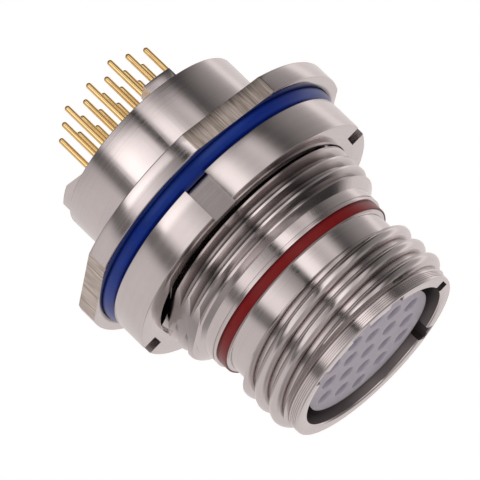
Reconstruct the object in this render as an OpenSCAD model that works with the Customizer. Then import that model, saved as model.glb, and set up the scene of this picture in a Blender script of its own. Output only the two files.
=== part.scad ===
// Circular multi-pin panel receptacle with a jam nut, a two-start coupling thread and straight solder tails.
// Millimetres. Z is the mating axis, mating end up, and z = 0 is the flange face that meets the panel.
// The flange flats and the rear lugs face X and Y, and the panel flat of the jam thread faces +Y.

/* [Flange] */
// Diameter across the round corners of the flange
flange_d = 37.6; // [36:0.1:46]
// Distance across the four flats of the flange
flange_across = 35.8; // [35.6:0.1:37.4]
// Thickness of the flange
flange_t = 2.5; // [2.2:0.1:5]
// Width of the bevel on the flange edges
flange_bevel = 0.15; // [0.1:0.05:0.4]
// Least width of flange left outside the O-ring groove at the round corners
flange_lip = 0.8; // [0.6:0.1:2]
// Least width of flange left outside the O-ring groove at the flats
flat_lip = 0.5; // [0.4:0.05:0.6]

/* [Jam thread and nut] */
// Crest diameter of the jam thread
jam_d = 28; // [27:0.1:29]
// Length of the jam thread in front of the flange
jam_l = 10.4; // [9.5:0.1:20]
// Length of the taper at the end of the jam thread
jam_taper_l = 0.95; // [0.6:0.05:2]
// Distance from one crest of the jam thread to the next
jam_pitch = 1.55; // [1.2:0.05:2]
// Depth of the jam thread
jam_depth = 0.9; // [0.6:0.05:0.95]
// Width of the jam thread's flat crest
jam_crest_w = 0.25; // [0.2:0.05:0.6]
// Angle at which the jam thread begins
jam_start_at = 120; // [0:10:350]
// Depth of the thread relief between the flange and the nut
jam_relief = 1.05; // [1.05:0.05:1.3]
// Distance of the panel flat from the axis
jam_flat = 13; // [13:0.05:13.4]
// Diameter of the jam nut
nut_d = 34; // [32.5:0.1:40]
// Least wall of the jam nut round its thread
nut_wall = 2.9; // [2.4:0.1:3]
// Length of the jam nut
nut_l = 4.45; // [3:0.05:6]
// Width of the bevel on the nut's outer edges
nut_bevel = 0.15; // [0.1:0.05:0.8]
// Number of wrench slots in the nut
slot_count = 4; // [3:1:8]
// Width of a wrench slot
slot_w = 3; // [1.5:0.1:4]
// Depth of a wrench slot
slot_depth = 1.8; // [0.6:0.1:2]
// Turn of the nut where it stopped
nut_turn = 26; // [0:1:90]

/* [Panel O-ring] */
// Outer diameter of the O-ring
oring_d = 34.5; // [34:0.1:34.8]
// Thickness of the O-ring
oring_t = 2.6; // [2:0.05:2.8]
// Depth of its groove in the flange face
oring_groove = 1.1; // [0.5:0.05:1.3]

/* [Coupling end] */
// Crest diameter of the coupling thread
coupling_d = 25.4; // [25:0.1:26.5]
// Depth of the coupling thread
coupling_depth = 1.15; // [0.8:0.05:1.2]
// Distance from one crest to the next along the axis
coupling_pitch = 2.25; // [2:0.05:3.5]
// Number of starts of the coupling thread
coupling_starts = 2; // [1:1:4]
// Length of the coupling thread
coupling_l = 6.7; // [5:0.1:12]
// Share of the pitch that a rounded crest takes up
coupling_crest_share = 0.8; // [0.6:0.05:0.9]
// Angle at which one start of the coupling thread begins
coupling_start_at = 150; // [0:10:350]
// Length over which the coupling thread runs out at the rim
coupling_run_out = 0.4; // [0.3:0.05:1.5]
// Length of the plain rim in front of the coupling thread
rim_l = 1.35; // [0.8:0.05:4]
// How far the rim stands out from the root of the coupling thread
rim_step = 0.15; // [0.05:0.05:0.3]
// Thickness of the wall at the root of the coupling thread
rim_wall = 1.45; // [1.4:0.05:1.6]
// Radius of the rim's rounded edges
rim_round = 0.2; // [0.1:0.05:0.5]
// Length of the plain relief behind the coupling thread
relief_l = 2.7; // [1:0.05:4]
// Diameter of the collar that carries the indicator band
collar_d = 25; // [24.6:0.1:25.8]
// Length of the plain collar behind the indicator band
collar_l = 1.75; // [1:0.05:3]
// Width of the fine groove behind the indicator band
collar_groove_w = 0.2; // [0.1:0.05:0.4]
// Depth of that groove
collar_groove_depth = 0.15; // [0.05:0.05:0.3]
// Distance of that groove from the indicator band
collar_groove_back = 0.3; // [0.2:0.05:0.5]
// Width of the indicator band
band_w = 1.25; // [0.6:0.05:2]
// Depth of the enamel in the indicator band
band_depth = 0.2; // [0.1:0.05:0.3]
// How far the indicator band lies below the collar
band_drop = 0.3; // [0.05:0.05:0.4]

/* [Keyways] */
// Width of the main keyway
main_key_w = 2.6; // [1.5:0.1:3.5]
// Width of each other keyway
key_w = 2; // [1:0.1:2.5]
// Depth of the keyways into the rim
key_depth = 1.1; // [0.4:0.05:1.2]
// Length of the keyways behind the rim's edge
key_l = 14; // [6:0.5:14]
// Angle of the main keyway about the axis
main_key_at = 22; // [0:1:359]
// Angles of the other keyways from the main one
key_angles = [36, 218, 276, 331]; // [0:1:359]

/* [Rear barrel] */
// Diameter of the rear barrel
barrel_d = 24.7; // [23.8:0.1:27]
// Length of the rear barrel behind the flange
barrel_l = 8.1; // [7.6:0.1:14]
// Height of the board lugs
lug_h = 1.15; // [0.6:0.05:3]
// Width of each board lug
lug_w = 3.8; // [2:0.1:6]
// Bevel on the barrel's outer edge
barrel_bevel = 0.1; // [0.1:0.05:0.5]

/* [Insert] */
// Diameter of the front insulator's face
insert_d = 17.64; // [17.4:0.02:18.2]
// Distance of the insulator's face behind the rim
insert_recess = 0.95; // [0.3:0.05:3]
// Diameter of the insulators inside the rear barrel
insert_rear_d = 19.6; // [19:0.1:20.4]
// Length of the front insulator's flange inside the barrel
insert_flange_l = 4; // [2.5:0.1:6]
// Length of the neck bore that the insulator passes through
neck_l = 5; // [2:0.1:8]
// Length of the rear insulator
rear_insulator_l = 6.9; // [5:0.1:7.2]
// Thickness of the tail wafer
wafer_t = 1.9; // [1:0.1:2]
// Thickness of the retaining ring
ring_t = 1; // [0.6:0.05:1.2]
// How far the retaining ring reaches into its groove
ring_bite = 0.7; // [0.3:0.05:1]
// Radial width of the retaining ring
ring_w = 1.4; // [1:0.1:1.6]
// Angle of the retaining ring's gap
ring_gap = 40; // [15:1:90]

/* [Contacts] */
// Distance between neighbouring contacts
contact_pitch = 3.46; // [3.2:0.02:3.6]
// Diameter of a contact cavity
cavity_d = 2.06; // [1.9:0.02:2.3]
// Diameter of a cavity's mouth at the face
mouth_d = 2.28; // [2.1:0.02:2.6]
// Distance of a socket's end behind the insulator's face
socket_recess = 1.2; // [0.5:0.1:3]
// Bore of a socket
socket_bore_d = 1.02; // [0.8:0.02:1.2]
// Depth of a socket's bore
socket_bore_l = 7; // [4:0.1:10]
// Length of the contact slit in a socket
socket_slit_l = 5; // [2:0.1:7]
// Width of the contact slit
socket_slit_w = 0.2; // [0.1:0.02:0.3]
// Diameter of a socket's barrel
socket_d = 1.7; // [1.5:0.02:1.8]
// Diameter of a contact's collar
contact_collar_d = 2.5; // [2.3:0.05:2.9]
// Length of a contact's collar
contact_collar_l = 1.5; // [0.8:0.1:2]
// Wall of a socket hood
hood_wall = 0.12; // [0.08:0.01:0.14]
// Length of a socket hood
hood_l = 9; // [6:0.1:12]
// Diameter of a contact's shank in the tail wafer
shank_d = 1.05; // [1.05:0.05:1.4]
// How far a shank stands out behind the tail wafer
shank_out = 0.3; // [0.2:0.05:0.6]
// Diameter of a solder tail
tail_d = 0.7; // [0.5:0.02:0.8]
// Length of a solder tail behind the rear barrel
tail_out = 8.05; // [3:0.05:14]

/* [Clearances] */
// Radial clearance of pieces that slide together when assembled
slip = 0.03; // [0.01:0.01:0.05]
// Radial clearance of the nut on the jam thread
nut_slip = 0.05; // [0.02:0.01:0.1]
// Gap between the O-ring and the nut
nut_gap = 0.08; // [0.02:0.02:0.3]

/* [Hidden] */
$fn = 72;
// Overlap that keeps a cut or a joined shape from ending on a face
over = 0.5;
// Heights along the axis
flange_back = -flange_t;
barrel_back = flange_back - barrel_l;
tail_tip = barrel_back - tail_out;
taper_end = jam_l + jam_taper_l;
band_back = taper_end + collar_l;
collar_groove_front = band_back - collar_groove_back;
band_front = band_back + band_w;
thread_back = band_front + relief_l;
thread_front = thread_back + coupling_l;
rim_front = thread_front + rim_l;
face_z = rim_front - insert_recess;
shoulder_z = insert_flange_l;
cavity_floor = shoulder_z + neck_l;
rear_insulator_back = -rear_insulator_l;
ring_back = rear_insulator_back - ring_t;
wafer_back = ring_back - wafer_t;
shank_back = wafer_back - shank_out;
socket_end = face_z - socket_recess;
oring_z = oring_t / 2 - oring_groove;
nut_back = oring_z + oring_t / 2 + nut_gap;
nut_front = nut_back + nut_l;
// Radii about the axis
root_r = coupling_d / 2 - coupling_depth;
rim_r = root_r + rim_step;
cavity_r = root_r - rim_wall;
collar_r = collar_d / 2;
band_r = collar_r - band_drop;
rear_bore_r = insert_rear_d / 2 + slip;
groove_r = rear_bore_r + ring_bite + slip;
oring_r = oring_d / 2 - oring_t / 2;
oring_groove_r = oring_d / 2 + slip;
flange_r = max(flange_d / 2, oring_groove_r + flange_lip);
flat_r = max(flange_across / 2, oring_groove_r + flat_lip);
nut_bore_r = jam_d / 2 + nut_slip;
nut_r = max(nut_d / 2, nut_bore_r + nut_wall);
neck_r = min(jam_d / 2 - jam_relief, oring_r - oring_t / 2 - slip);
hood_r = socket_d / 2 + slip + hood_wall;
// Threads: each is a wall on a round core, with its ends sunk into the plain stretches next to it.
// A tooth is a list of corners, each with its share of the pitch and its radius.
thread_sides = 36;
thread_sink = 0.4;
thread_inset = 0.12;
least_edge = 0.1;
jam_core_r = collar_r - thread_sink;
jam_crest_share = jam_crest_w / jam_pitch;
jam_tooth = [
    [0, jam_d / 2 - jam_depth],
    [(1 - jam_crest_share) / 2, jam_d / 2],
    [(1 + jam_crest_share) / 2, jam_d / 2]
];
coupling_core_r = (root_r + cavity_r) / 2;
coupling_tooth = [
    for (turn = [0 : 30 : 180])
        [(1 - coupling_crest_share * cos(turn)) / 2, root_r + coupling_depth * sin(turn)]
];
// Contact rows: 3, 4, 5, 4 and 3, with the middle row along X
rings_of_contacts = 2;
row_rise = contact_pitch * sqrt(3) / 2;
contact_places = [
    for (row = [-rings_of_contacts : rings_of_contacts])
        for (k = [0 : 2 * rings_of_contacts - abs(row)])
            [(k - rings_of_contacts + abs(row) / 2) * contact_pitch, row * row_rise]
];
contact_ids = [for (i = [0 : len(contact_places) - 1]) i];
function numbered(stem, i) = str(stem, i < 9 ? "_0" : "_", i + 1);
nickel = "#b9b4b0";

module tube(outer_r, inner_r, low, high) {
    translate([0, 0, low])
        difference() {
            cylinder(r = outer_r, h = high - low);
            translate([0, 0, -over])
                cylinder(r = inner_r, h = high - low + 2 * over);
        }
}

module at_contacts() {
    for (place = contact_places)
        translate(place)
            children();
}

// Half section of the shell without its threads, from the rear bore round the outside to the cavity
module body_section() {
    polygon([
        [rear_bore_r, barrel_back],
        [barrel_d / 2 - barrel_bevel, barrel_back],
        [barrel_d / 2, barrel_back + barrel_bevel],
        [barrel_d / 2, flange_back],
        [flange_r - flange_bevel, flange_back],
        [flange_r, flange_back + flange_bevel],
        [flange_r, -flange_bevel],
        [flange_r - flange_bevel, 0],
        [oring_groove_r, 0],
        [oring_groove_r, -oring_groove],
        [neck_r, -oring_groove],
        [neck_r, nut_back],
        [jam_core_r, nut_back],
        [jam_core_r, taper_end],
        [collar_r, taper_end],
        [collar_r, collar_groove_front - collar_groove_w],
        [collar_r - collar_groove_depth, collar_groove_front - collar_groove_w],
        [collar_r - collar_groove_depth, collar_groove_front],
        [collar_r, collar_groove_front],
        [collar_r, band_back],
        [band_r - band_depth, band_back],
        [band_r - band_depth, band_front],
        [root_r, band_front],
        [root_r, thread_back],
        [coupling_core_r, thread_back],
        [coupling_core_r, thread_front],
        [rim_r, thread_front],
        [rim_r, rim_front - rim_round],
        [rim_r - rim_round, rim_front],
        [cavity_r + rim_round, rim_front],
        [cavity_r, rim_front - rim_round],
        [cavity_r, cavity_floor],
        [insert_d / 2 + slip, cavity_floor],
        [insert_d / 2 + slip, shoulder_z],
        [rear_bore_r, shoulder_z],
        [rear_bore_r, rear_insulator_back],
        [groove_r, rear_insulator_back],
        [groove_r, ring_back],
        [rear_bore_r, ring_back]
    ]);
}

// Corners of a thread's teeth up one side of its wall, each with its row, height and radius.
// Near both ends of the thread the teeth run out into the wall.
function thread_column(side, low, high, end_r, crest_r, run_in, run_out, pitch, starts, tooth) = [
    for (row = [-starts * len(tooth) : ceil((high - low) / pitch) * len(tooth)])
        let (
            turn = floor(row / len(tooth)),
            corner = tooth[row - turn * len(tooth)],
            z = low + (turn + corner[0] + starts * side / thread_sides) * pitch,
            rise = min((z - low) / run_in, (high - z) / run_out)
        )
            if (min(z - low, high - z) > least_edge)
                [row, z, min(corner[1], end_r + (crest_r - end_r) * rise)]
];

function at_side(side, r, z) =
    let (angle = side * 360 / thread_sides)
        [r * cos(angle), r * sin(angle), z];

function quad(a, b, c, d) = [[a, c, b], [a, d, c]];

// A threaded stretch of wall. Each side's corners stand one step further along the helix than the last
// side's, so roots and crests run along edges, and a row that ends between two sides is closed by a fan.
module thread_wall(low, high, core_r, end_r, crest_r, run_in, run_out, pitch, starts, start_at, tooth) {
    sides = [for (side = [0 : thread_sides - 1]) side];
    columns = [
        for (side = sides)
            thread_column(side, low, high, end_r, crest_r, run_in, run_out, pitch, starts, tooth)
    ];
    first = [for (column = columns) column[0][0]];
    last = [for (column = columns) column[len(column) - 1][0]];
    // At either end each side has three more corners: the wall's foot, its sunk end and one in the core
    begin = [
        for (side = 0, n = 0; side < thread_sides; n = n + len(columns[side]) + 6, side = side + 1)
            n
    ];
    bore_r = core_r - thread_sink;
    points = [
        for (side = sides)
            each concat(
                [
                    at_side(side, bore_r, low - thread_sink),
                    at_side(side, end_r, low - thread_sink),
                    at_side(side, end_r, low + least_edge / 2)
                ],
                [for (corner = columns[side]) at_side(side, corner[2], corner[1])],
                [
                    at_side(side, end_r, high - least_edge / 2),
                    at_side(side, end_r, high + thread_sink),
                    at_side(side, bore_r, high + thread_sink)
                ]
            )
    ];
    faces = [
        for (side = sides)
            let (
                next = (side + 1) % thread_sides,
                shift = next == 0 ? starts * len(tooth) : 0,
                a = begin[side],
                b = begin[next],
                a_first = first[side],
                b_first = first[next] - shift,
                a_last = last[side],
                b_last = last[next] - shift,
                a_row = a + 3 - a_first,
                b_row = b + 3 - b_first,
                a_end = a_row + a_last + 3,
                b_end = b_row + b_last + 3
            )
                each concat(
                    quad(a, b, b + 1, a + 1),
                    quad(a + 1, b + 1, b + 2, a + 2),
                    [for (row = [b_first - 1 : 1 : a_first - 2]) [a + 2, b_row + row + 1, b_row + row]],
                    [
                        for (row = [a_first - 1 : b_last])
                            each quad(a_row + row, b_row + row, b_row + row + 1, a_row + row + 1)
                    ],
                    [for (row = [b_last + 1 : 1 : a_last]) [a_row + row, a_row + row + 1, b_end - 2]],
                    quad(a_end - 2, b_end - 2, b_end - 1, a_end - 1),
                    quad(a_end - 1, b_end - 1, b_end, a_end),
                    quad(a_end, b_end, b, a)
                )
    ];
    rotate([0, 0, start_at])
        polyhedron(points = points, faces = faces);
}

module jam_thread() {
    thread_wall(
        nut_back, taper_end, jam_core_r, collar_r - thread_inset, jam_d / 2,
        jam_taper_l, jam_taper_l, jam_pitch, 1, jam_start_at, jam_tooth
    );
}

module coupling_thread() {
    thread_wall(
        thread_back, thread_front, coupling_core_r, root_r - thread_inset, coupling_d / 2,
        coupling_depth, coupling_run_out, coupling_pitch, coupling_starts, coupling_start_at, coupling_tooth
    );
}

// One keyway slot along the cavity wall
module keyway(angle, width) {
    rotate([0, 0, angle])
        translate([cavity_r - over, -width / 2, rim_front - key_l])
            cube([key_depth + over, width, key_l + over]);
}

// Board lugs left standing on the barrel's rear edge, one behind each flange flat
module board_lugs() {
    intersection() {
        tube(barrel_d / 2 - barrel_bevel, rear_bore_r, barrel_back - lug_h, barrel_back + over);
        for (turn = [0, 90])
            rotate([0, 0, turn])
                translate([0, 0, barrel_back])
                    cube([barrel_d + over, lug_w, 2 * (lug_h + over)], center = true);
    }
}

module shell() {
    color(nickel) {
        difference() {
            union() {
                rotate_extrude()
                    body_section();
                jam_thread();
                coupling_thread();
            }
            for (side = [0 : 3])
                rotate([0, 0, side * 90])
                    translate([flat_r, -flange_r, flange_back - over])
                        cube([flange_r, 2 * flange_r, flange_t + 2 * over]);
            translate([-jam_d / 2, jam_flat, nut_back - over])
                cube([jam_d, jam_d, taper_end - nut_back + 2 * over]);
            keyway(main_key_at, main_key_w);
            for (angle = key_angles)
                keyway(main_key_at + angle, key_w);
        }
        board_lugs();
    }
}

module jam_nut() {
    color(nickel)
        rotate([0, 0, nut_turn])
            difference() {
                rotate_extrude()
                    polygon([
                        [nut_bore_r, nut_back],
                        [nut_r - nut_bevel, nut_back],
                        [nut_r, nut_back + nut_bevel],
                        [nut_r, nut_front - nut_bevel],
                        [nut_r - nut_bevel, nut_front],
                        [nut_bore_r, nut_front]
                    ]);
                for (i = [0 : slot_count - 1])
                    rotate([0, 0, i * 360 / slot_count])
                        translate([nut_r - slot_depth, -slot_w / 2, nut_back - over])
                            cube([slot_depth + over, slot_w, nut_l + 2 * over]);
            }
}

module panel_o_ring() {
    color("#1d2f86")
        translate([0, 0, oring_z])
            rotate_extrude()
                translate([oring_r, 0])
                    circle(d = oring_t);
}

module indicator_band() {
    color("#8f1d1d")
        tube(band_r, band_r - band_depth, band_back, band_front);
}

module front_insulator() {
    color("#b3adb6")
        difference() {
            union() {
                cylinder(r = insert_d / 2, h = face_z);
                cylinder(r = insert_rear_d / 2, h = shoulder_z);
            }
            at_contacts() {
                translate([0, 0, -over])
                    cylinder(d = cavity_d, h = face_z + 2 * over);
                translate([0, 0, face_z - (mouth_d - cavity_d) / 2])
                    cylinder(d1 = cavity_d, d2 = mouth_d, h = (mouth_d - cavity_d) / 2);
                translate([0, 0, -over])
                    cylinder(r = contact_collar_d / 2 + slip, h = contact_collar_l + over);
            }
        }
}

module rear_insulator() {
    color("#8f8991")
        difference() {
            translate([0, 0, rear_insulator_back])
                cylinder(r = insert_rear_d / 2, h = rear_insulator_l);
            at_contacts()
                translate([0, 0, rear_insulator_back - over])
                    cylinder(r = socket_d / 2 + slip, h = rear_insulator_l + 2 * over);
        }
}

module insert_retaining_ring() {
    ring_r = rear_bore_r + ring_bite;
    color("#9a9ca0")
        difference() {
            tube(ring_r, ring_r - ring_w, ring_back, rear_insulator_back);
            rotate([0, 0, -ring_gap / 2])
                translate([0, 0, ring_back - over])
                    rotate_extrude(angle = ring_gap)
                        translate([ring_r - ring_w - over, 0])
                            square([ring_w + 2 * over, ring_t + 2 * over]);
        }
}

module tail_wafer() {
    color("#3c3a40")
        difference() {
            translate([0, 0, wafer_back])
                cylinder(r = insert_rear_d / 2, h = wafer_t);
            at_contacts()
                translate([0, 0, wafer_back - over])
                    cylinder(r = shank_d / 2 + slip, h = wafer_t + 2 * over);
        }
}

// One contact: a slit socket in front, a collar held between the insulators, a shank and a round-ended tail
module contact(i) {
    socket_r = socket_d / 2;
    tail_r = tail_d / 2;
    color("#d9a441")
        translate(contact_places[i])
            difference() {
                union() {
                    translate([0, 0, rear_insulator_back])
                        cylinder(r = socket_r, h = socket_end - rear_insulator_back);
                    cylinder(d = contact_collar_d, h = contact_collar_l);
                    translate([0, 0, shank_back])
                        cylinder(d = shank_d, h = rear_insulator_back - shank_back + over);
                    translate([0, 0, tail_tip + tail_r])
                        cylinder(r = tail_r, h = shank_back - tail_tip - tail_r + over);
                    translate([0, 0, tail_tip + tail_r])
                        sphere(r = tail_r);
                }
                translate([0, 0, socket_end - socket_bore_l])
                    cylinder(d = socket_bore_d, h = socket_bore_l + over);
                translate([-socket_d, -socket_slit_w / 2, socket_end - socket_slit_l])
                    cube([2 * socket_d, socket_slit_w, socket_slit_l + over]);
            }
}

module socket_hood(i) {
    hood_front = socket_end + socket_recess / 4;
    color("#a8abb0")
        translate(contact_places[i])
            tube(hood_r, hood_r - hood_wall, hood_front - hood_l, hood_front);
}

shell();
jam_nut();
panel_o_ring();
indicator_band();
front_insulator();
rear_insulator();
insert_retaining_ring();
tail_wafer();
for (i = contact_ids) {
    contact(i);
    socket_hood(i);
}
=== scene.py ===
"""Dresses the CAD frame of a circular panel receptacle.

It has a turned nickel shell, a jam nut, seals, insulators and gold contacts.
"""

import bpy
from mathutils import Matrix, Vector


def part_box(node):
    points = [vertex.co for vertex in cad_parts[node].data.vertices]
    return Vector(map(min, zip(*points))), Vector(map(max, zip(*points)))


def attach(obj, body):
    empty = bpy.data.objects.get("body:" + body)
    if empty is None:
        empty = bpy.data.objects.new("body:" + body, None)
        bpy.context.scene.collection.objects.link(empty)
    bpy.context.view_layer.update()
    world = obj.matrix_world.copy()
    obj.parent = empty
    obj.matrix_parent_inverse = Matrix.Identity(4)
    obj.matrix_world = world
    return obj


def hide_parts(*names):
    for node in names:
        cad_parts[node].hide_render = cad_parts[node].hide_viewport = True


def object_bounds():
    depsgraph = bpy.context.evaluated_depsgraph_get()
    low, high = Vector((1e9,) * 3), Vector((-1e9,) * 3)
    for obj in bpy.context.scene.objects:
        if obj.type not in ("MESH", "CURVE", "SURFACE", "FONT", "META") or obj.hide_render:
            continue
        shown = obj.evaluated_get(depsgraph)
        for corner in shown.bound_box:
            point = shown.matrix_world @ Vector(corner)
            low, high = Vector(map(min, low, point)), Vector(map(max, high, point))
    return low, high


bl_info = {
    "name": "Circular Panel Receptacle",
    "version": (1, 0, 0),
    "blender": (4, 5, 0),
    "location": "View3D > Sidebar > Receptacle",
    "description": "Builds a multi-pin panel receptacle round its CAD frame",
    "category": "Object",
}

import math

import bmesh
import bpy
from bpy.props import FloatProperty, FloatVectorProperty, IntProperty, PointerProperty
from bpy.types import Operator, Panel, PropertyGroup
from mathutils import Matrix, Vector

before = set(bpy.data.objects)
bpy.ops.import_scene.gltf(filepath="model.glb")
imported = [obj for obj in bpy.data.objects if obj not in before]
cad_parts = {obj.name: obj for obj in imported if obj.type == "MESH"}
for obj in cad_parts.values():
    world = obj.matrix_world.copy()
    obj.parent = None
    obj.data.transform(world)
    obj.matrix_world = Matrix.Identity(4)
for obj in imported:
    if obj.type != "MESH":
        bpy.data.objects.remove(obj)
CAD_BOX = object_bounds()
SHELL_LOW, SHELL_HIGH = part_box("shell")
NUT_LOW, NUT_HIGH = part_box("jam_nut")
SEAL_LOW, SEAL_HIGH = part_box("panel_o_ring")
BAND_LOW, BAND_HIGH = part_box("indicator_band")

MM = 0.001
SIDES = 144
THREAD_STEPS = 120
CREST_STEPS = 8
SEAL_SIDES = 40
SMOOTH_ANGLE = math.radians(32)
# How near two points are merged, and how near a cut takes a point as its own
MERGE = 0.0002 * MM
CUT = 0.0001 * MM

# Half the angle between the jam thread's flanks
FLANK_ANGLE = math.radians(30)
# How far a coupling crest reaches each way, as a share of the pitch
CREST_REACH = 0.4
# Keyways as (degrees round the axis, width in mm)
KEYWAYS = ((22, 2.6), (58, 2.0), (240, 2.0), (298, 2.0), (353, 2.0))
QUARTERS = (0, 90, 180, 270)
# Fine turned lines round the rim, in mm: how far the first lies behind the front edge, how far apart
# they are, and the (depth, way across) of a line's corners
RIM_LINES = 4
RIM_LINE_FIRST = 1.05
RIM_LINE_APART = 0.22
RIM_LINE_CORNERS = ((0, 0), (0.08, 0.03), (0.08, 0.1), (0, 0.13))

# Widths of the patterns in the finishes
TOOL_RINGS = 0.3 * MM
PLATING_CLOUD = 4 * MM
MILLING_STREAKS = 0.3 * MM
RUBBER_BLOOM = 1.5 * MM
RUBBER_SKIN = 0.35 * MM
ENAMEL_WIPE = 1.2 * MM
MOULD_FLOW = 3 * MM
MOULD_GRAIN = 0.25 * MM
DRAW_MARKS = 0.15 * MM

# The camera's way round the part, its height and its roll, and where it looks from the part's origin
FACING, TILT, LEAN = math.radians(26.5), math.radians(16.8), math.radians(44.04)
CAMERA_LENS, CAMERA_SENSOR = 385.5, 36
CAMERA_NEAR, CAMERA_FAR = 0.05, 20
CAMERA_DISTANCE = 0.569
LOOK_RIGHT, LOOK_DOWN = 2.6 * MM, 3.93 * MM

FLOOR_RADIUS, FLOOR_SIDES, FLOOR_DROP = 12.0, 64, 0.9

# The lit card's size, its turn from the camera, its place and its power
CARD_WIDTH, CARD_HEIGHT = 45 * MM, 23 * MM
CARD_TURN = math.radians(20)
CARD_OUT, CARD_ASIDE, CARD_DOWN = 62 * MM, 2.2 * MM, 28.5 * MM
CARD_POWER = 0.0021

# Softboxes and dark flags round the part, and above it, as (degrees from the camera, brightness)
SOFTBOXES = (
    (-180, 0.8), (-140, 0.84), (-131, 1.08), (-125, 1.0), (-119, 0.62), (-110, 0.44), (-100, 0.35),
    (-90, 0.27), (-80, 0.18), (-71, 0.11), (-64, 0.16), (-58, 0.55), (-52, 0.82), (-40, 0.62),
    (-33, 0.85), (-27, 1.3), (-16, 1.5), (-13, 0.5), (-11.5, 0.03), (-6.5, 0.03), (-4, 0.34),
    (4, 0.5), (14, 0.78), (28, 1.12), (40, 1.12), (45, 0.6), (49, 0.2), (59, 0.2), (65, 0.6),
    (70, 0.72), (180, 0.78),
)
OVERHEAD = (
    (-180, 0.6), (-165, 0.45), (-150, 0.04), (-125, 0.04), (-100, 0.35), (0, 0.5), (110, 0.4),
    (150, 0.3), (180, 0.6),
)
# Below the part the light is dimmer, one flag darkens the left side, and straight below it is dark
FLAG_FROM, FLAG_TO, FLAG_BRIGHT = -115, -45, 0.05
UNDERNEATH_SHARE = 0.6
UNDERNEATH = tuple(
    (degrees, FLAG_BRIGHT if FLAG_FROM < degrees < FLAG_TO else UNDERNEATH_SHARE * bright)
    for degrees, bright in SOFTBOXES
)
NADIR = ((-180, 0.14), (180, 0.14))
# Heights in degrees over which one ring of light gives way to the next
OVERHEAD_FROM, OVERHEAD_TO = 25, 42
UNDERNEATH_FROM, UNDERNEATH_TO = -26, -34
NADIR_FROM, NADIR_TO = -50, -62
LIGHT_TINT = (1.0, 0.94, 0.93)


def linear(hex_colour):
    """Linear RGBA of an sRGB hex colour."""
    shares = [int(hex_colour[i : i + 2], 16) / 255 for i in (1, 3, 5)]
    return (*(s / 12.92 if s <= 0.04045 else ((s + 0.055) / 1.055) ** 2.4 for s in shares), 1.0)


def length(name, description, metres):
    """A property that holds a length."""
    return FloatProperty(name=name, description=description, default=metres, unit="LENGTH", precision=5)


def colour(name, description, hex_colour):
    """A property that holds a colour."""
    return FloatVectorProperty(
        name=name,
        description=description,
        default=linear(hex_colour),
        size=4,
        subtype="COLOR",
        min=0,
        max=1,
    )


class ReceptacleShellSizes(PropertyGroup):
    """Sizes of the turned shell. Heights are measured from the flange face that meets the panel."""

    flange_radius: length("Flange radius", "Radius of the flange's round corners", 18.8 * MM)
    flange_flat: length("Flange flat", "Distance of each flange flat from the axis", SHELL_HIGH.x)
    flange_thickness: length("Flange thickness", "Thickness of the flange", 2.5 * MM)
    flange_bevel: length("Flange bevel", "Bevel on the flange's edges", 0.15 * MM)
    groove_radius: length("Seal groove radius", "Outer radius of the O-ring groove", 17.28 * MM)
    groove_depth: length("Seal groove depth", "Depth of the O-ring groove", 1.1 * MM)
    jam_radius: length("Jam radius", "Crest radius of the jam thread", 14.0 * MM)
    jam_depth: length("Jam depth", "Depth of the jam thread", 0.9 * MM)
    jam_pitch: length("Jam pitch", "Pitch of the jam thread", 1.55 * MM)
    jam_crest: length("Jam crest", "Width of the jam thread's flat crest", 0.25 * MM)
    jam_crest_at: length("Jam crest height", "Height of one crest on the +X side", 6.49 * MM)
    jam_end: length("Jam end", "Height where the jam thread's taper starts", 10.4 * MM)
    jam_flat: length("Jam flat", "Distance of the panel flat from the axis", 13.0 * MM)
    collar_back: length("Collar back", "Height where the plain collar starts", 11.35 * MM)
    collar_radius: length("Collar radius", "Radius of the collar behind the band", 12.5 * MM)
    band_radius: length("Band radius", "Outer radius of the indicator band", BAND_HIGH.x)
    band_depth: length("Band depth", "Depth of the band's groove", 0.2 * MM)
    thread_back: length("Thread back", "Height where the coupling thread starts", 17.05 * MM)
    thread_front: length("Thread front", "Height where the coupling thread ends", 23.75 * MM)
    thread_radius: length("Thread radius", "Crest radius of the coupling thread", 12.7 * MM)
    thread_root: length("Thread root", "Root radius of the coupling thread", 11.5 * MM)
    thread_pitch: length("Thread pitch", "Distance from crest to crest of the coupling thread", 2.25 * MM)
    thread_run_out: length("Thread run-out", "Length of the coupling thread's run-out", 0.4 * MM)
    thread_starts: IntProperty(name="Thread starts", description="Starts of the coupling thread", default=2)
    thread_crest_at: length("Thread crest height", "Height of one crest on the +X side", 18.55 * MM)
    relief_radius: length("Relief radius", "Radius of the relief behind the coupling thread", 11.55 * MM)
    rim_radius: length("Rim radius", "Outer radius of the plain rim", 11.7 * MM)
    cavity_radius: length("Cavity radius", "Radius of the mating cavity", 10.1 * MM)
    cavity_floor: length("Cavity floor", "Height of the mating cavity's floor", 9.0 * MM)
    rim_front: length("Rim front", "Height of the rim's front edge", SHELL_HIGH.z)
    key_depth: length("Keyway depth", "Depth of the keyways", 1.1 * MM)
    key_length: length("Keyway length", "Length of the keyways", 14.0 * MM)
    barrel_radius: length("Barrel radius", "Radius of the rear barrel", 12.35 * MM)
    barrel_back: length("Barrel back", "Height of the rear barrel's back edge", -10.6 * MM)
    bore_radius: length("Bore radius", "Radius of the rear bore", 9.83 * MM)
    lug_back: length("Lug back", "Height of the lugs' rear faces", SHELL_LOW.z)
    lug_width: length("Lug width", "Width of each lug", 3.8 * MM)


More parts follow.
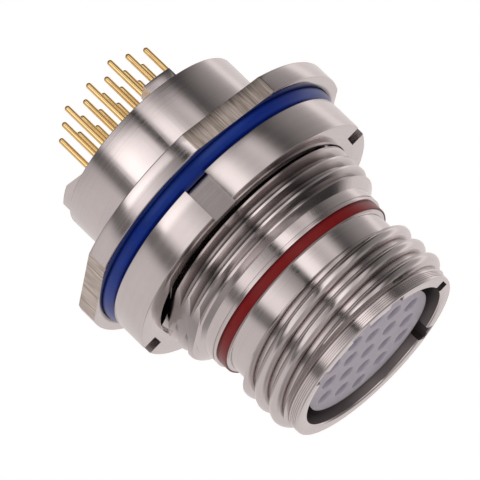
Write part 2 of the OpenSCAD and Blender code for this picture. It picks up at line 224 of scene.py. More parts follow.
class ReceptacleFittingSizes(PropertyGroup):
    """Sizes of the nut, the seal and the band on the shell."""

    nut_radius: length("Nut radius", "Outer radius of the jam nut", 17.0 * MM)
    nut_bore: length("Nut bore", "Radius of the nut's bore", 14.05 * MM)
    nut_bevel: length("Nut bevel", "Bevel on the nut's outer edges", 0.15 * MM)
    slot_width: length("Slot width", "Width of a wrench slot", 3.0 * MM)
    slot_depth: length("Slot depth", "Depth of a wrench slot", 1.8 * MM)
    slot_turn: FloatProperty(
        name="Slot turn",
        description="Angle of the first wrench slot",
        default=math.radians(26),
        subtype="ANGLE",
    )
    seal_thickness: length("Seal thickness", "Thickness of the O-ring", SEAL_HIGH.z - SEAL_LOW.z)


class ReceptacleFinishes(PropertyGroup):
    """Colours of the receptacle's finishes."""

    nickel: colour("Nickel", "Satin nickel plate", "#ddd6d5")
    nickel_shade: colour("Nickel shade", "Nickel plate where it is duller", "#cbc4c3")
    # Painted shade: a dark colour laid deep in the threads, by the seal groove and in the bore, where shade
    # falls
    nickel_painted_shade: colour("Nickel root", "Nickel plate deep in the threads and in the bore", "#3f3733")
    nickel_milled: colour("Milled nickel", "Nickel plate on the milled flats", "#e0d5cc")
    nickel_worn: colour("Worn nickel", "Nickel plate in the milling marks of the flats", "#a5988c")
    rubber: colour("Rubber", "Blue fluorosilicone", "#06227a")
    rubber_sheen: colour("Rubber sheen", "Tint of the rubber's sheen", "#aad4ff")
    enamel: colour("Enamel", "Red indicator enamel", "#6e090b")
    insert: colour("Insert", "Grey moulded insulator", "#d4cede")
    wafer: colour("Wafer", "Dark sealing wafer", "#3c3a40")
    gold: colour("Gold", "Gold plate on the contacts", "#ffdc9a")
    steel: colour("Steel", "Bright spring steel", "#b4b6ba")


def add(tree, kind, inputs=None, **settings):
    """Adds a node, sets its settings, and links or sets its inputs."""
    node = tree.nodes.new(kind)
    for key, value in settings.items():
        setattr(node, key, value)
    for socket, value in (inputs or {}).items():
        if isinstance(value, bpy.types.NodeSocket):
            tree.links.new(value, node.inputs[socket])
        else:
            node.inputs[socket].default_value = value
    return node


def material(name):
    """A new material, its node tree and its shader."""
    made = bpy.data.materials.new(name)
    made.use_nodes = True
    return made, made.node_tree, made.node_tree.nodes["Principled BSDF"]


def nickel_plate(finishes, shell):
    # Electroless nickel on turned aluminium: satin metal whose fine tool rings draw the reflections out
    # along the axis. Painted shade darkens it deep in the threads, by the seal groove and in the bore,
    # and it is streaked on the milled flats.
    made, tree, shader = material("satin_nickel_plate")
    place = add(tree, "ShaderNodeTexCoord").outputs["Object"]
    axes = add(tree, "ShaderNodeSeparateXYZ", {0: place})
    flat = add(tree, "ShaderNodeCombineXYZ", {0: axes.outputs["X"], 1: axes.outputs["Y"]})
    radius = add(tree, "ShaderNodeVectorMath", {0: flat.outputs[0]}, operation="LENGTH")
    ring = add(tree, "ShaderNodeCombineXYZ", {0: axes.outputs["Z"], 1: radius.outputs["Value"]})
    # Tool rings are about 0.05 mm apart; drawn at 0.3 mm so that they show.
    tool = add(
        tree,
        "ShaderNodeTexNoise",
        {"Vector": ring.outputs[0], "Scale": 1 / TOOL_RINGS, "Detail": 3.0, "Roughness": 0.6},
        noise_dimensions="2D",
    )
    # Plating cloud, about 4 mm across.
    cloud = add(
        tree,
        "ShaderNodeTexNoise",
        {"Vector": place, "Scale": 1 / PLATING_CLOUD, "Detail": 4.0, "Roughness": 0.6},
    )
    rings = add(
        tree,
        "ShaderNodeMapRange",
        {"Value": tool.outputs["Fac"], "From Min": 0.35, "From Max": 0.65},
    )
    worn = add(
        tree,
        "ShaderNodeMix",
        {"Factor": 0.2, "A": cloud.outputs["Fac"], "B": rings.outputs["Result"]},
    )
    tone = add(
        tree,
        "ShaderNodeMix",
        {
            "Factor": worn.outputs["Result"],
            "A": tuple(finishes.nickel_shade),
            "B": tuple(finishes.nickel),
        },
        data_type="RGBA",
    )
    rough = add(
        tree, "ShaderNodeMapRange", {"Value": tool.outputs["Fac"], "To Min": 0.09, "To Max": 0.22}
    )
    # Each zone of painted shade has its heights, the radii where it starts and is full, and its
    # strength: the jam thread, the coupling thread, the flange face by the seal groove, and last the bore.
    crest, outer, groove = shell.jam_radius, shell.thread_radius, shell.groove_radius
    bore = shell.cavity_radius + shell.key_depth + 0.1 * MM
    painted_shade = 0.0
    for low, high, start, full, share in (
        (NUT_LOW.z, shell.jam_end, crest - 0.1 * MM, crest - shell.jam_depth, 0.55),
        (shell.thread_back, shell.thread_front, outer - 0.6 * MM, outer - 1.1 * MM, 0.12),
        (-shell.groove_depth, 0.03 * MM, groove + 0.5 * MM, groove + 0.15 * MM, 0.9),
        (shell.barrel_back + 0.3 * MM, shell.rim_front - 0.2 * MM, bore, bore - 0.02 * MM, 0.7),
    ):
        zone = add(
            tree,
            "ShaderNodeMath",
            {0: axes.outputs["Z"], 1: (low + high) / 2, 2: (high - low) / 2},
            operation="COMPARE",
        )
        deep = add(
            tree,
            "ShaderNodeMapRange",
            {"Value": radius.outputs["Value"], "From Min": start, "From Max": full, "To Max": share},
        )
        both = add(
            tree,
            "ShaderNodeMath",
            {0: zone.outputs[0], 1: deep.outputs["Result"]},
            operation="MULTIPLY",
        )
        painted_shade = add(tree, "ShaderNodeMath", {0: both.outputs[0], 1: painted_shade}, operation="MAXIMUM").outputs[0]
    # Painted shade: in these zones the nickel's colour is mixed towards a dark brown, deep in the threads,
    # by the seal groove and in the bore
    tone = add(
        tree,
        "ShaderNodeMix",
        {"Factor": painted_shade, "A": tone.outputs["Result"], "B": tuple(finishes.nickel_painted_shade)},
        data_type="RGBA",
    )
    # The bore, the last zone, is rough as well.
    rough = add(tree, "ShaderNodeMix", {"Factor": both.outputs[0], "A": rough.outputs["Result"], "B": 0.5})
    # Milling streaks across the flats are about 0.1 mm wide; drawn at 0.3 mm so that they show.
    across = add(tree, "ShaderNodeVectorMath", {0: place}, operation="ABSOLUTE")
    sides = add(tree, "ShaderNodeSeparateXYZ", {0: across.outputs[0]})
    side = add(tree, "ShaderNodeMath", {0: sides.outputs["X"], 1: sides.outputs["Y"]}, operation="MAXIMUM")
    flats = add(
        tree,
        "ShaderNodeMath",
        {0: side.outputs[0], 1: shell.flange_flat, 2: 0.05 * MM},
        operation="COMPARE",
    )
    drawn = add(tree, "ShaderNodeMapping", {"Vector": place, "Scale": (1.0, 1.0, 0.06)})
    streaks = add(
        tree,
        "ShaderNodeTexNoise",
        {"Vector": drawn.outputs[0], "Scale": 1 / MILLING_STREAKS, "Detail": 3.0, "Roughness": 0.7},
    )
    marks = add(
        tree,
        "ShaderNodeMapRange",
        {"Value": streaks.outputs["Fac"], "From Min": 0.38, "From Max": 0.62},
    )
    milled = add(
        tree,
        "ShaderNodeMix",
        {
            "Factor": marks.outputs["Result"],
            "A": tuple(finishes.nickel_worn),
            "B": tuple(finishes.nickel_milled),
        },
        data_type="RGBA",
    )
    tone = add(
        tree,
        "ShaderNodeMix",
        {"Factor": flats.outputs[0], "A": tone.outputs["Result"], "B": milled.outputs["Result"]},
        data_type="RGBA",
    )
    rough = add(
        tree,
        "ShaderNodeMix",
        {"Factor": flats.outputs[0], "A": rough.outputs["Result"], "B": 0.35},
    )
    tree.links.new(tone.outputs["Result"], shader.inputs["Base Color"])
    tree.links.new(rough.outputs["Result"], shader.inputs["Roughness"])
    bump = add(
        tree, "ShaderNodeBump", {"Height": tool.outputs["Fac"], "Strength": 0.12, "Distance": 0.02 * MM}
    )
    tree.links.new(bump.outputs["Normal"], shader.inputs["Normal"])
    shader.inputs["Metallic"].default_value = 1.0
    return made


def blue_rubber(finishes):
    # Moulded fluorosilicone: deep blue with a faint bloom, a fine skin and a soft blue sheen.
    made, tree, shader = material("fluorosilicone_rubber")
    place = add(tree, "ShaderNodeTexCoord").outputs["Object"]
    bloom = add(tree, "ShaderNodeTexNoise", {"Vector": place, "Scale": 1 / RUBBER_BLOOM, "Detail": 5.0})
    pale = tuple(min(1.0, 1.7 * c) for c in finishes.rubber[:3]) + (1.0,)
    tone = add(
        tree,
        "ShaderNodeMix",
        {"Factor": bloom.outputs["Fac"], "A": tuple(finishes.rubber), "B": pale},
        data_type="RGBA",
    )
    tree.links.new(tone.outputs["Result"], shader.inputs["Base Color"])
    skin = add(tree, "ShaderNodeTexNoise", {"Vector": place, "Scale": 1 / RUBBER_SKIN, "Detail": 3.0})
    bump = add(
        tree,
        "ShaderNodeBump",
        {"Height": skin.outputs["Fac"], "Strength": 0.15, "Distance": 0.03 * MM},
    )
    tree.links.new(bump.outputs["Normal"], shader.inputs["Normal"])
    shader.inputs["Roughness"].default_value = 0.3
    shader.inputs["IOR"].default_value = 1.42
    shader.inputs["Specular IOR Level"].default_value = 0.8
    shader.inputs["Specular Tint"].default_value = tuple(finishes.rubber_sheen)
    return made


def red_enamel(finishes):
    # Stoved enamel wiped into a groove: glossy dark red, a little uneven round the band.
    made, tree, shader = material("red_stoved_enamel")
    place = add(tree, "ShaderNodeTexCoord").outputs["Object"]
    wipe = add(tree, "ShaderNodeTexNoise", {"Vector": place, "Scale": 1 / ENAMEL_WIPE, "Detail": 4.0})
    thin = tuple(min(1.0, 1.5 * c) for c in finishes.enamel[:3]) + (1.0,)
    tone = add(
        tree,
        "ShaderNodeMix",
        {"Factor": wipe.outputs["Fac"], "A": tuple(finishes.enamel), "B": thin},
        data_type="RGBA",
    )
    tree.links.new(tone.outputs["Result"], shader.inputs["Base Color"])
    bump = add(
        tree,
        "ShaderNodeBump",
        {"Height": wipe.outputs["Fac"], "Strength": 0.1, "Distance": 0.03 * MM},
    )
    tree.links.new(bump.outputs["Normal"], shader.inputs["Normal"])
    shader.inputs["Roughness"].default_value = 0.3
    shader.inputs["Specular IOR Level"].default_value = 0.22
    return made


def moulded_plastic(name, base, roughness, glow):
    # Glass-filled moulding: matte, with a fine grain about 0.25 mm across and a faint flow mottle.
    made, tree, shader = material(name)
    place = add(tree, "ShaderNodeTexCoord").outputs["Object"]
    flow = add(tree, "ShaderNodeTexNoise", {"Vector": place, "Scale": 1 / MOULD_FLOW, "Detail": 3.0})
    shade = tuple(0.86 * c for c in base[:3]) + (1.0,)
    tone = add(
        tree,
        "ShaderNodeMix",
        {"Factor": flow.outputs["Fac"], "A": shade, "B": tuple(base)},
        data_type="RGBA",
    )
    tree.links.new(tone.outputs["Result"], shader.inputs["Base Color"])
    grain = add(tree, "ShaderNodeTexNoise", {"Vector": place, "Scale": 1 / MOULD_GRAIN, "Detail": 2.0})
    bump = add(
        tree,
        "ShaderNodeBump",
        {"Height": grain.outputs["Fac"], "Strength": 0.2, "Distance": 0.03 * MM},
    )
    tree.links.new(bump.outputs["Normal"], shader.inputs["Normal"])
    shader.inputs["Roughness"].default_value = roughness
    shader.inputs["Subsurface Weight"].default_value = glow
    shader.inputs["Subsurface Radius"].default_value = (1.0, 1.0, 1.0)
    shader.inputs["Subsurface Scale"].default_value = 2.5 * MM
    return made


def bright_metal(name, base, roughness):
    # Drawn and plated pins and springs: bright metal with faint draw marks along the axis, about
    # 0.15 mm apart.
    made, tree, shader = material(name)
    place = add(tree, "ShaderNodeTexCoord").outputs["Object"]
    drawn = add(tree, "ShaderNodeMapping", {"Vector": place, "Scale": (1.0, 1.0, 0.05)})
    marks = add(
        tree, "ShaderNodeTexNoise", {"Vector": drawn.outputs[0], "Scale": 1 / DRAW_MARKS, "Detail": 2.0}
    )
    shade = tuple(0.8 * c for c in base[:3]) + (1.0,)
    tone = add(
        tree,
        "ShaderNodeMix",
        {"Factor": marks.outputs["Fac"], "A": shade, "B": tuple(base)},
        data_type="RGBA",
    )
    tree.links.new(tone.outputs["Result"], shader.inputs["Base Color"])
    rough = add(
        tree,
        "ShaderNodeMapRange",
        {"Value": marks.outputs["Fac"], "To Min": 0.7 * roughness, "To Max": 1.3 * roughness},
    )
    tree.links.new(rough.outputs["Result"], shader.inputs["Roughness"])
    shader.inputs["Metallic"].default_value = 1.0
    return made


def turned(corners):
    """A ring turned about Z from a closed half section of (radius, height, rounding) corners."""
    bm = bmesh.new()
    verts = [bm.verts.new((radius, 0, height)) for radius, height, _ in corners]
    for a, b in zip(verts, verts[1:] + verts[:1]):
        bm.edges.new((a, b))
    for size in sorted({rounding for _, _, rounding in corners if rounding}):
        bmesh.ops.bevel(
            bm,
            geom=[v for v, c in zip(verts, corners) if c[2] == size],
            offset=size,
            offset_type="OFFSET",
            segments=3,
            profile=0.5,
            affect="VERTICES",
            material=-1,
        )
    bmesh.ops.spin(
        bm, geom=bm.verts[:] + bm.edges[:], axis=(0, 0, 1), angle=math.tau, steps=SIDES, use_merge=True
    )
    return closed(bm)


def closed(bm):
    """Merges the doubles of a closed shape and points its faces outwards."""
    bmesh.ops.remove_doubles(bm, verts=bm.verts, dist=MERGE)
    bmesh.ops.recalc_face_normals(bm, faces=bm.faces)
    return bm


def trim(bm, point, normal):
    """Cuts away what lies beyond a plane and leaves the cut open."""
    bmesh.ops.bisect_plane(
        bm,
        geom=bm.verts[:] + bm.edges[:] + bm.faces[:],
        dist=CUT,
        plane_co=point,
        plane_no=normal,
        clear_outer=True,
    )


def cut_off(bm, point, normal):
    """Cuts away what lies beyond a plane, closes the cut and gives its new faces."""
    trim(bm, point, normal)
    rim = [e for e in bm.edges if e.is_boundary]
    return bmesh.ops.holes_fill(bm, edges=rim, sides=0)["faces"]


def threaded(tooth, pitch, starts, crest_at, low, high, bore):
    """A closed sleeve with a right-hand thread.

    The tooth lists (height, radius) over one pitch from a crest's middle.
    """
    bm = bmesh.new()
    lead = pitch * starts
    first = math.floor((low - lead - crest_at) / pitch)
    last = math.ceil((high - crest_at) / pitch)
    verts = [
        bm.verts.new((radius, 0, crest_at + k * pitch + height))
        for k in range(first, last + 1)
        for height, radius in tooth
    ]
    edges = [bm.edges.new(pair) for pair in zip(verts, verts[1:])]
    bmesh.ops.spin(
        bm,
        geom=verts + edges,
        axis=(0, 0, 1),
        dvec=(0, 0, lead / THREAD_STEPS),
        angle=math.tau,
        steps=THREAD_STEPS,
    )
    bmesh.ops.remove_doubles(bm, verts=bm.verts, dist=MERGE)
    for height, side in ((low, -1), (high, 1)):
        trim(bm, (0, 0, height), (0, 0, side))
    rim = [e for e in bm.edges if e.is_boundary]
    grown = bmesh.ops.extrude_edge_only(bm, edges=rim)["geom"]
    for vert in grown:
        if isinstance(vert, bmesh.types.BMVert):
            vert.co.xy *= bore / vert.co.xy.length
    bmesh.ops.bridge_loops(bm, edges=[e for e in bm.edges if e.is_boundary])
    return closed(bm)


def box(low, high, turn=0.0):
    """A box between two corners, turned about Z."""
    bm = bmesh.new()
    bmesh.ops.create_cube(bm, size=1.0)
    low, high = Vector(low), Vector(high)
    bmesh.ops.scale(bm, vec=high - low, verts=bm.verts)
    bmesh.ops.translate(bm, vec=(low + high) / 2, verts=bm.verts)
    bmesh.ops.rotate(bm, cent=(0, 0, 0), matrix=Matrix.Rotation(turn, 3, "Z"), verts=bm.verts)
    return bm


def combined(base, tool, operation):
    """The exact boolean of two closed shapes, as one new bmesh."""
    objects = []
    for bm in (base, tool):
        mesh = bpy.data.meshes.new("work")
        bm.to_mesh(mesh)
        bm.free()
        objects.append(bpy.data.objects.new("work", mesh))
        bpy.context.scene.collection.objects.link(objects[-1])
    cut = objects[0].modifiers.new("cut", "BOOLEAN")
    cut.operation = operation
    cut.object = objects[1]
    cut.solver = "EXACT"
    result = bmesh.new()
    result.from_object(objects[0], bpy.context.evaluated_depsgraph_get())
    for obj in objects:
        bpy.data.meshes.remove(obj.data)
    return result


def finished(bm, name, finish, body, node):
    """Turns a bmesh into a shaded piece that rides on a body and stands for a CAD node."""
    mesh = bpy.data.meshes.new(name)
    bm.to_mesh(mesh)
    bm.free()
    mesh.materials.append(finish)
    mesh.shade_smooth()
    mesh.set_sharp_from_angle(angle=SMOOTH_ANGLE)
    piece = bpy.data.objects.new(name, mesh)
    bpy.context.scene.collection.objects.link(piece)
    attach(piece, body)
    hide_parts(node)
    return piece


def paint(names, finish):
    """Gives CAD nodes a finish."""
    for name in names:
        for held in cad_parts[name].material_slots:
            held.material = finish


class RECEPTACLE_OT_shell(Operator):
    """Builds the turned shell with its flange flats, two threads, keyways and lugs"""

    bl_idname = "receptacle.shell"
    bl_label = "Shell"

    def execute(self, context):
        s = context.scene.receptacle_shell
        # Threads and flange are joined on, so the core stays a little below them
        cover = 0.15 * MM
        core = s.collar_radius - cover
        inner = core - 0.2 * MM
        hidden_root = s.thread_root - cover
        core_front = s.collar_back - cover
        core_back = -0.8 * s.flange_thickness
        # Bore: the neck round the insert, the shoulder it stops at and the retaining ring's groove
        neck = 8.85 * MM
        shoulder = 4.0 * MM
        ring_back, ring_front, ring_groove = -7.9 * MM, -6.9 * MM, 10.56 * MM
        # Line turned into the collar behind the band
        line_front = BAND_LOW.z - 0.3 * MM
        line_back = line_front - 0.2 * MM
        line_floor = s.collar_radius - 0.15 * MM
        band_floor = s.band_radius - s.band_depth
        bore_edge, barrel_edge, line_edge, band_edge = 0.15 * MM, 0.1 * MM, 0.03 * MM, 0.05 * MM
        relief_edge, thread_edge, rim_edge = 0.12 * MM, 0.05 * MM, 0.2 * MM
        rim_lines = [
            (
                s.rim_radius - depth * MM,
                s.rim_front - (RIM_LINE_FIRST - RIM_LINE_APART * k - across) * MM,
                0,
            )
            for k in range(RIM_LINES)
            for depth, across in RIM_LINE_CORNERS
        ]
        shell = turned(
            [
                (s.bore_radius, s.barrel_back, bore_edge),
                (s.barrel_radius, s.barrel_back, barrel_edge),
                (s.barrel_radius, core_back, 0),
                (core, core_back, 0),
                (core, core_front, 0),
                (s.collar_radius, core_front, 0),
                (s.collar_radius, line_back, line_edge),
                (line_floor, line_back, 0),
                (line_floor, line_front, 0),
                (s.collar_radius, line_front, line_edge),
                (s.collar_radius, BAND_LOW.z, band_edge),
                (band_floor, BAND_LOW.z, 0),
                (band_floor, BAND_HIGH.z, band_edge),
                (s.relief_radius, BAND_HIGH.z, relief_edge),
                (s.relief_radius, s.thread_back, 0),
                (hidden_root, s.thread_back, 0),
                (hidden_root, s.thread_front, 0),
                (s.rim_radius, s.thread_front, thread_edge),
                *rim_lines,
                (s.rim_radius, s.rim_front, rim_edge),
                (s.cavity_radius, s.rim_front, rim_edge),
                (s.cavity_radius, s.cavity_floor, 0),
                (neck, s.cavity_floor, 0),
                (neck, shoulder, 0),
                (s.bore_radius, shoulder, 0),
                (s.bore_radius, ring_front, 0),
                (ring_groove, ring_front, 0),
                (ring_groove, ring_back, 0),
                (s.bore_radius, ring_back, 0),
            ]
        )

        # Lugs: pieces of a ring on the barrel's rear edge, set in a little so that no faces coincide
        lug_inside, lug_outside = s.bore_radius + 0.02 * MM, s.barrel_radius - 0.03 * MM
        over = 0.3 * MM
        lug_front = s.barrel_back + over
        inside_edge, outside_edge = 0.1 * MM, 0.15 * MM
        for turn in QUARTERS:
            lug = turned(
                [
                    (lug_inside, s.lug_back, inside_edge),
                    (lug_outside, s.lug_back, outside_edge),
                    (lug_outside, lug_front, 0),
                    (lug_inside, lug_front, 0),
                ]
            )
            for side in (-1, 1):
                cut_off(lug, (0, side * s.lug_width / 2, 0), (0, side, 0))
            cut_off(lug, (0, 0, 0), (-1, 0, 0))
            bmesh.ops.rotate(
                lug, cent=(0, 0, 0), matrix=Matrix.Rotation(math.radians(turn), 3, "Z"), verts=lug.verts
            )
            shell = combined(shell, closed(lug), "UNION")

        groove_edge, groove_corner = 0.08 * MM, 0.12 * MM
        flange = turned(
            [
                (inner, -s.flange_thickness, 0),
                (s.flange_radius, -s.flange_thickness, s.flange_bevel),
                (s.flange_radius, 0, s.flange_bevel),
                (s.groove_radius, 0, groove_edge),
                (s.groove_radius, -s.groove_depth, groove_corner),
                (inner, -s.groove_depth, 0),
            ]
        )
        flats = []
        for axis in (Vector((1, 0, 0)), Vector((0, 1, 0)), Vector((-1, 0, 0)), Vector((0, -1, 0))):
            flats += cut_off(flange, axis * s.flange_flat, axis)
        # A dict keeps the edges in order, so each run bevels them alike
        edges = dict.fromkeys(e for face in flats if face.is_valid for e in face.edges)
        bmesh.ops.bevel(
            flange,
            geom=list(edges),
            offset=0.6 * s.flange_bevel,
            offset_type="OFFSET",
            segments=2,
            profile=0.5,
            affect="EDGES",
            material=-1,
        )
        shell = combined(shell, closed(flange), "UNION")

        # Jam thread: 60 degree flanks, flat crests, ended by a taper and cut by the panel flat
        root = s.jam_radius - s.jam_depth
        half, run = s.jam_crest / 2, s.jam_depth * math.tan(FLANK_ANGLE)
        spare = 0.5 * MM
        jam = threaded(
            [
                (-half, s.jam_radius),
                (half, s.jam_radius),
                (half + run, root),
                (s.jam_pitch - half - run, root),
            ],
            s.jam_pitch,
            1,
            s.jam_crest_at,
            NUT_LOW.z - spare,
            s.collar_back + spare,
            inner,
        )
        clear = 0.1 * MM
        taper_radius, taper_front = s.collar_radius - 0.05 * MM, s.collar_back + 0.04 * MM
        taper = turned(
            [
                (inner - clear, NUT_LOW.z, 0),
                (s.jam_radius + clear, NUT_LOW.z, 0),
                (s.jam_radius + clear, s.jam_end - clear, 0),
                (taper_radius, taper_front, 0),
                (inner - clear, taper_front, 0),
            ]
        )
        jam = combined(jam, taper, "INTERSECT")
        cut_off(jam, (0, s.jam_flat, 0), (0, 1, 0))
        shell = combined(shell, closed(jam), "UNION")

        # Coupling thread: rounded crests on two starts, run out by cones at both ends
        crest_height = s.thread_radius - s.thread_root
        reach = CREST_REACH * s.thread_pitch
        tooth = [
            (reach * math.sin(a), s.thread_root + crest_height * math.cos(a))
            for a in (math.pi / 2 * k / CREST_STEPS for k in range(-CREST_STEPS, CREST_STEPS + 1))
        ]
        coupling = threaded(
            tooth,
            s.thread_pitch,
            s.thread_starts,
            s.thread_crest_at,
            s.thread_back - over,
            s.thread_front + over,
            hidden_root - 0.2 * MM,
        )
        foot, under, top = hidden_root - over, s.relief_radius - 0.02 * MM, s.thread_radius + 0.05 * MM
        back, front = s.thread_back - clear, s.thread_front + clear
        run_in = 0.6 * MM
        envelope = turned(
            [
                (foot, back, 0),
                (under, back, 0),
                (under, s.thread_back, 0),
                (top, s.thread_back + run_in, 0),
                (top, s.thread_front - s.thread_run_out, 0),
                (under, s.thread_front, 0),
                (under, front, 0),
                (foot, front, 0),
            ]
        )
        coupling = combined(coupling, envelope, "INTERSECT")
        shell = combined(shell, coupling, "UNION")

        for turn, width in KEYWAYS:
            keyway = box(
                (s.cavity_radius - spare, -width / 2 * MM, s.rim_front - s.key_length),
                (s.cavity_radius + s.key_depth, width / 2 * MM, s.rim_front + spare),
                math.radians(turn),
            )
            shell = combined(shell, keyway, "DIFFERENCE")

        finish = nickel_plate(context.scene.receptacle_finishes, s)
        finished(shell, "shell_turned", finish, "shell", "shell")
        return {"FINISHED"}


class RECEPTACLE_OT_jam_nut(Operator):
    """Builds the round jam nut with its wrench slots"""

    bl_idname = "receptacle.jam_nut"
    bl_label = "Jam nut"

    def execute(self, context):
        s = context.scene.receptacle_fittings
        back_edge, front_edge = 0.3 * MM, 0.1 * MM
        nut = turned(
            [
                (s.nut_bore, NUT_LOW.z, back_edge),
                (s.nut_radius, NUT_LOW.z, s.nut_bevel),
                (s.nut_radius, NUT_HIGH.z, s.nut_bevel),
                (s.nut_bore, NUT_HIGH.z, front_edge),
            ]
        )
        over = 1 * MM
        for k in range(len(QUARTERS)):
            slot = box(
                (s.nut_radius - s.slot_depth, -s.slot_width / 2, NUT_LOW.z - over),
                (s.nut_radius + over, s.slot_width / 2, NUT_HIGH.z + over),
                s.slot_turn + k * math.pi / 2,
            )
            nut = combined(nut, slot, "DIFFERENCE")
        finish = bpy.data.materials["satin_nickel_plate"]
        finished(nut, "jam_nut_slotted", finish, "nut", "jam_nut")
        return {"FINISHED"}


class RECEPTACLE_OT_panel_seal(Operator):
    """Builds the blue O-ring in front of the flange"""

    bl_idname = "receptacle.panel_seal"
    bl_label = "Panel seal"

    def execute(self, context):
        s = context.scene.receptacle_fittings
        bm = bmesh.new()
        half = s.seal_thickness / 2
        middle = SEAL_HIGH.x - half
        section = bmesh.ops.create_circle(bm, segments=SEAL_SIDES, radius=half)["verts"]
        bmesh.ops.rotate(bm, cent=(0, 0, 0), matrix=Matrix.Rotation(math.pi / 2, 3, "X"), verts=section)
        bmesh.ops.translate(bm, vec=(middle, 0, (SEAL_LOW.z + SEAL_HIGH.z) / 2), verts=section)
        bmesh.ops.spin(
            bm, geom=bm.verts[:] + bm.edges[:], axis=(0, 0, 1), angle=math.tau, steps=SIDES, use_merge=True
        )
        finish = blue_rubber(context.scene.receptacle_finishes)
        finished(closed(bm), "panel_seal_ring", finish, "shell", "panel_o_ring")
        return {"FINISHED"}


class RECEPTACLE_OT_indicator_band(Operator):
    """Builds the red enamel band in the collar's groove"""

    bl_idname = "receptacle.indicator_band"
    bl_label = "Indicator band"

    def execute(self, context):
        s = context.scene.receptacle_shell
        foot = s.band_radius - s.band_depth
        back_edge, front_edge = 0.05 * MM, 0.08 * MM
        band = turned(
            [
                (foot, BAND_LOW.z, 0),
                (s.band_radius, BAND_LOW.z, back_edge),
                (s.band_radius, BAND_HIGH.z, front_edge),
                (foot, BAND_HIGH.z, 0),
            ]
        )
        finish = red_enamel(context.scene.receptacle_finishes)
        finished(band, "indicator_band_enamel", finish, "shell", "indicator_band")
        return {"FINISHED"}


class RECEPTACLE_OT_insulators(Operator):
    """Finishes the insulators, the tail wafer, the retaining ring and the socket hoods"""

    bl_idname = "receptacle.insulators"
    bl_label = "Insulators"

    def execute(self, context):
        finishes = context.scene.receptacle_finishes
        grey = moulded_plastic("grey_moulded_thermoplastic", finishes.insert, 0.42, 0.9)
        paint(["front_insulator", "rear_insulator"], grey)
        paint(["tail_wafer"], moulded_plastic("dark_epoxy_wafer", finishes.wafer, 0.5, 0.0))
        steel = bright_metal("bright_spring_steel", finishes.steel, 0.25)
        paint(["insert_retaining_ring"], steel)
        paint([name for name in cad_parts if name.startswith("socket_hood")], steel)
        return {"FINISHED"}


class RECEPTACLE_OT_contacts(Operator):
    """Finishes the gold contacts"""

    bl_idname = "receptacle.contacts"
    bl_label = "Contacts"

    def execute(self, context):
        gold = bright_metal("gold_plate", context.scene.receptacle_finishes.gold, 0.14)
        paint([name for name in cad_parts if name.startswith("contact")], gold)
        return {"FINISHED"}


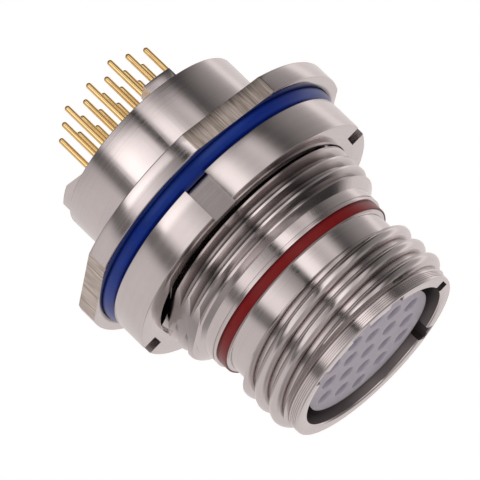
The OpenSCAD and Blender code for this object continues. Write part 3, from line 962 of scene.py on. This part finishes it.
class RECEPTACLE_OT_stage(Operator):
    """Sets up the floor, the studio light and the camera"""

    bl_idname = "receptacle.stage"
    bl_label = "Stage"

    def execute(self, context):
        scene = context.scene
        scene.view_settings.view_transform = "Standard"
        up = Vector((0, 0, 1))
        near = Vector((math.cos(FACING), math.sin(FACING), 0))
        side = Vector((-math.sin(FACING), math.cos(FACING), 0))
        along = math.cos(TILT) * up - math.sin(TILT) * near
        back = math.sin(TILT) * up + math.cos(TILT) * near
        right = math.cos(LEAN) * along - math.sin(LEAN) * side
        above = -math.sin(LEAN) * along - math.cos(LEAN) * side

        lens = bpy.data.cameras.new("camera")
        lens.lens, lens.sensor_width = CAMERA_LENS, CAMERA_SENSOR
        lens.clip_start, lens.clip_end = CAMERA_NEAR, CAMERA_FAR
        camera = bpy.data.objects.new("camera", lens)
        scene.collection.objects.link(camera)
        target = LOOK_RIGHT * right - LOOK_DOWN * above
        turned_to = Matrix((right, above, back)).transposed().to_4x4()
        camera.matrix_world = Matrix.Translation(target + CAMERA_DISTANCE * back) @ turned_to
        scene.camera = camera

        bm = bmesh.new()
        bmesh.ops.create_circle(bm, cap_ends=True, segments=FLOOR_SIDES, radius=FLOOR_RADIUS)
        mesh = bpy.data.meshes.new("floor")
        bm.to_mesh(mesh)
        bm.free()
        floor = bpy.data.objects.new("floor", mesh)
        floor.location.z = CAD_BOX[0].z - FLOOR_DROP
        floor.visible_glossy = False
        scene.collection.objects.link(floor)
        # Matt white studio floor, lit a little from within so that it stays clean and pale
        pale, _, shader = material("pale_floor")
        shader.inputs["Base Color"].default_value = linear("#f3f3f3")
        shader.inputs["Roughness"].default_value = 0.9
        shader.inputs["Emission Color"].default_value = linear("#ffffff")
        shader.inputs["Emission Strength"].default_value = 0.6
        mesh.materials.append(pale)

        # A small lit card low in front brightens only what lies behind the nut
        glow = bpy.data.lights.new("card", "AREA")
        glow.shape = "RECTANGLE"
        glow.size, glow.size_y = CARD_WIDTH, CARD_HEIGHT
        glow.energy = CARD_POWER
        glow.color = LIGHT_TINT
        card = bpy.data.objects.new("card", glow)
        outward = math.cos(CARD_TURN) * near + math.sin(CARD_TURN) * side
        sideways = math.cos(CARD_TURN) * side - math.sin(CARD_TURN) * near
        spot = CARD_OUT * outward - CARD_ASIDE * sideways - CARD_DOWN * up
        turned_to = Matrix((sideways, up, outward)).transposed().to_4x4()
        card.matrix_world = Matrix.Translation(spot) @ turned_to
        card.visible_camera = False
        scene.collection.objects.link(card)

        world = bpy.data.worlds.new("studio")
        scene.world = world
        world.use_nodes = True
        tree = world.node_tree
        tree.nodes.clear()
        way = add(tree, "ShaderNodeTexCoord").outputs["Generated"]
        turn = add(
            tree, "ShaderNodeVectorRotate", {"Vector": way, "Angle": -FACING}, rotation_type="Z_AXIS"
        )
        axes = add(tree, "ShaderNodeSeparateXYZ", {0: turn.outputs[0]})
        angle = add(
            tree,
            "ShaderNodeMath",
            {0: axes.outputs["Y"], 1: axes.outputs["X"]},
            operation="ARCTAN2",
        )
        share = add(
            tree,
            "ShaderNodeMapRange",
            {"Value": angle.outputs[0], "From Min": -math.pi, "From Max": math.pi},
        )
        rings = []
        for studio in (SOFTBOXES, OVERHEAD, UNDERNEATH, NADIR):
            ramp = add(tree, "ShaderNodeValToRGB", {"Fac": share.outputs["Result"]})
            stops = ramp.color_ramp.elements
            while len(stops) < len(studio):
                stops.new(0.5)
            for stop, (degrees, bright) in zip(stops, studio):
                stop.position = (degrees + 180) / 360
                stop.color = (*(bright * tint for tint in LIGHT_TINT), 1)
            rings.append(ramp.outputs["Color"])
        light, over, under, below = rings
        for ring, start, full in (
            (over, OVERHEAD_FROM, OVERHEAD_TO),
            (under, UNDERNEATH_FROM, UNDERNEATH_TO),
            (below, NADIR_FROM, NADIR_TO),
        ):
            reached = add(
                tree,
                "ShaderNodeMapRange",
                {
                    "Value": axes.outputs["Z"],
                    "From Min": math.sin(math.radians(start)),
                    "From Max": math.sin(math.radians(full)),
                },
                interpolation_type="SMOOTHSTEP",
            )
            mixed = add(
                tree,
                "ShaderNodeMix",
                {"Factor": reached.outputs["Result"], "A": light, "B": ring},
                data_type="RGBA",
            )
            light = mixed.outputs["Result"]
        soft = add(tree, "ShaderNodeBackground", {"Color": light, "Strength": 1.0})
        white = add(tree, "ShaderNodeBackground", {"Color": (1, 1, 1, 1), "Strength": 1.0})
        seen = add(tree, "ShaderNodeLightPath").outputs["Is Camera Ray"]
        both = add(tree, "ShaderNodeMixShader", {0: seen, 1: soft.outputs[0], 2: white.outputs[0]})
        add(tree, "ShaderNodeOutputWorld", {"Surface": both.outputs[0]})
        return {"FINISHED"}


OPERATORS = (
    RECEPTACLE_OT_shell,
    RECEPTACLE_OT_jam_nut,
    RECEPTACLE_OT_panel_seal,
    RECEPTACLE_OT_indicator_band,
    RECEPTACLE_OT_insulators,
    RECEPTACLE_OT_contacts,
    RECEPTACLE_OT_stage,
)


class RECEPTACLE_PT_pieces(Panel):
    """Lists the receptacle's pieces, in the order they are built"""

    bl_idname = "RECEPTACLE_PT_pieces"
    bl_label = "Receptacle"
    bl_space_type = "VIEW_3D"
    bl_region_type = "UI"
    bl_category = "Receptacle"

    def draw(self, context):
        for operator in OPERATORS:
            self.layout.operator(operator.bl_idname)


GROUPS = {
    "receptacle_shell": ReceptacleShellSizes,
    "receptacle_fittings": ReceptacleFittingSizes,
    "receptacle_finishes": ReceptacleFinishes,
}
CLASSES = (*GROUPS.values(), *OPERATORS, RECEPTACLE_PT_pieces)


def register():
    for made in CLASSES:
        bpy.utils.register_class(made)
    for name, group in GROUPS.items():
        setattr(bpy.types.Scene, name, PointerProperty(type=group))


def unregister():
    for name in GROUPS:
        delattr(bpy.types.Scene, name)
    for made in reversed(CLASSES):
        bpy.utils.unregister_class(made)


def main():
    register()
    bpy.ops.receptacle.shell()
    bpy.ops.receptacle.jam_nut()
    bpy.ops.receptacle.panel_seal()
    bpy.ops.receptacle.indicator_band()
    bpy.ops.receptacle.insulators()
    bpy.ops.receptacle.contacts()
    bpy.ops.receptacle.stage()


if __name__ == "__main__":
    main()
